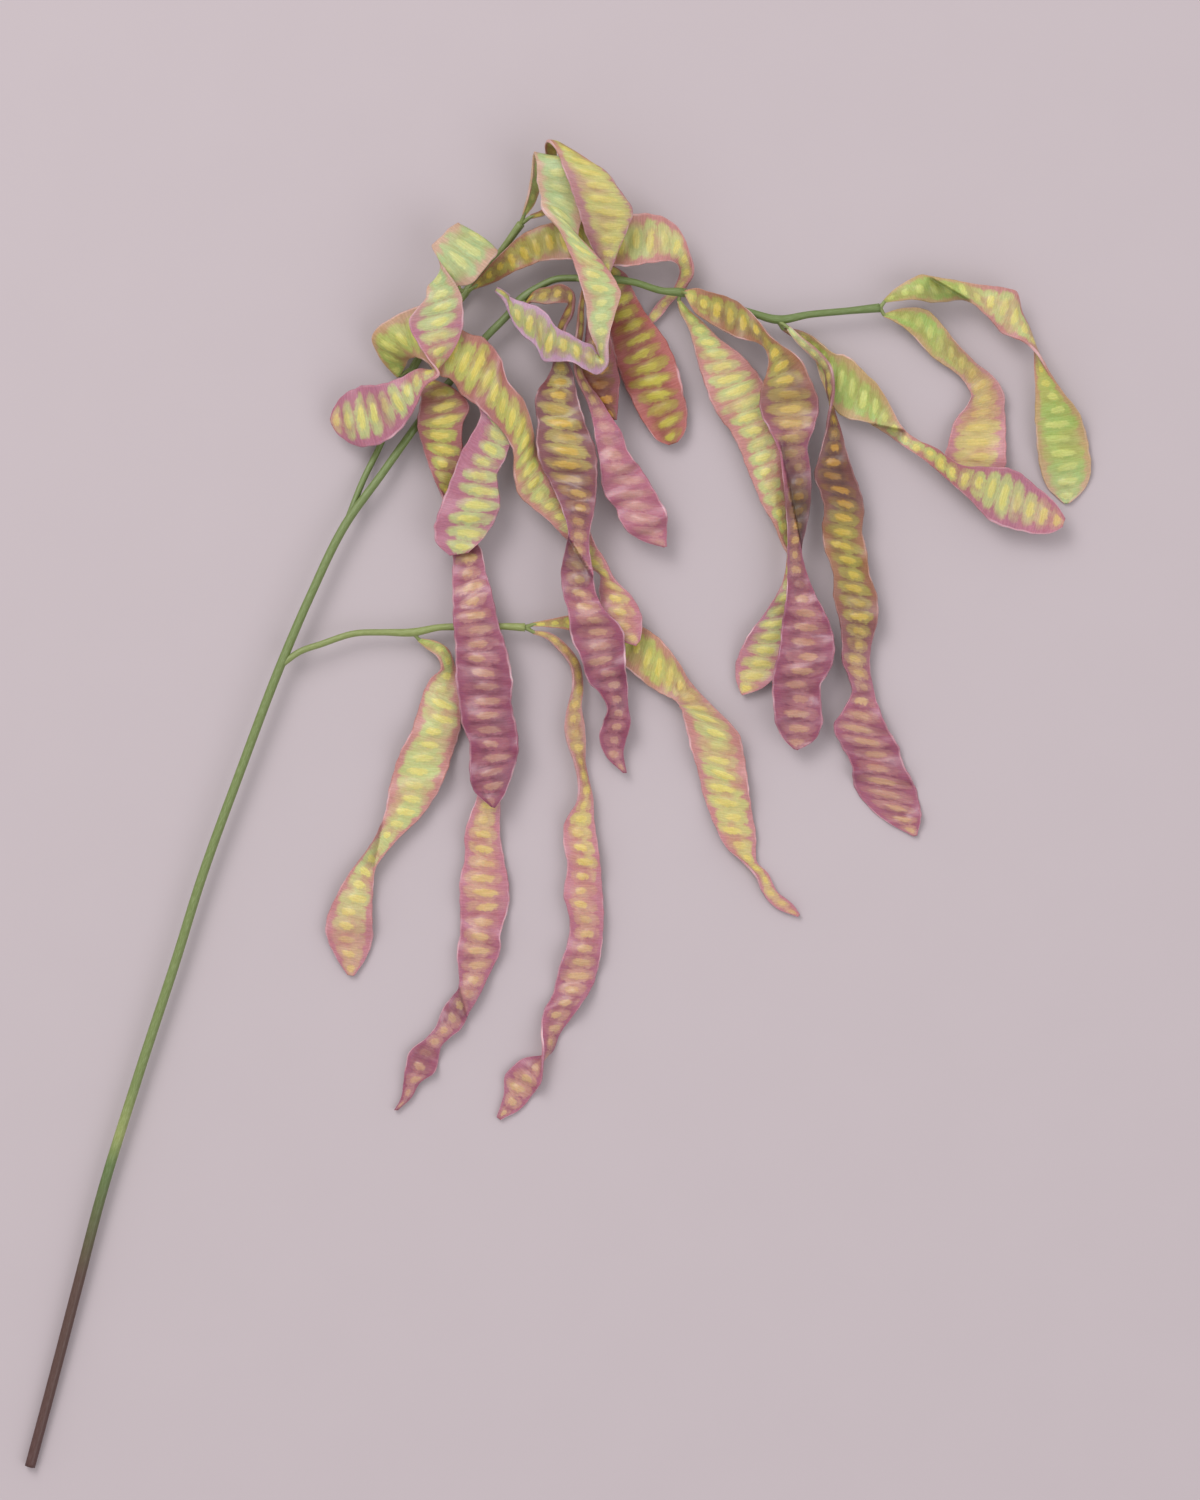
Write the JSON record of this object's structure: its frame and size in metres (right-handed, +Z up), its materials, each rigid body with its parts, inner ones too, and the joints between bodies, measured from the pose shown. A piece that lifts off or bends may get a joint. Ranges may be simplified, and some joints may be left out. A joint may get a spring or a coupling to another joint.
{
  "type": "acacia seed pod twig",
  "caption": "Cut acacia twig lying flat, its branched stem carrying a tangle of long twisted seed pods.",
  "frame": {"origin": "centre of the bounding box, on the surface that the twig lies on", "axes": "+Y from the cut foot of the stem towards the crown of pods, +Z up from the surface, +X to the right in the view from above"},
  "size_m": [0.4288, 0.5308, 0.0354],
  "materials": {
    "stem": "satin",
    "pod_left_twist": "satin",
    "pod_left_long": "satin",
    "pod_left_drop": "satin",
    "pod_left_short": "satin",
    "pod_centre_long": "satin",
    "pod_crown_twist": "satin",
    "pod_crown_fold": "satin",
    "pod_upper_cross": "satin",
    "pod_centre_red": "satin",
    "pod_centre_dark": "satin",
    "pod_centre_pink": "satin",
    "pod_right_inner": "satin",
    "pod_right_front": "satin",
    "pod_right_sweep": "satin",
    "pod_right_drop": "satin",
    "pod_right_high": "satin",
    "pod_right_low": "satin",
    "pod_low_left": "satin",
    "pod_low_middle": "satin",
    "pod_low_centre": "satin",
    "pod_low_right": "satin"
  },
  "bodies": {
    "root": {"stem": "stem", "pod_left_twist": "pod_left_twist", "pod_left_long": "pod_left_long", "pod_left_drop": "pod_left_drop", "pod_left_short": "pod_left_short", "pod_centre_long": "pod_centre_long", "pod_crown_twist": "pod_crown_twist", "pod_crown_fold": "pod_crown_fold", "pod_upper_cross": "pod_upper_cross", "pod_centre_red": "pod_centre_red", "pod_centre_dark": "pod_centre_dark", "pod_centre_pink": "pod_centre_pink", "pod_right_inner": "pod_right_inner", "pod_right_front": "pod_right_front", "pod_right_sweep": "pod_right_sweep", "pod_right_drop": "pod_right_drop", "pod_right_high": "pod_right_high", "pod_right_low": "pod_right_low", "pod_low_left": "pod_low_left", "pod_low_middle": "pod_low_middle", "pod_low_centre": "pod_low_centre", "pod_low_right": "pod_low_right"}
  },
  "joints": []
}
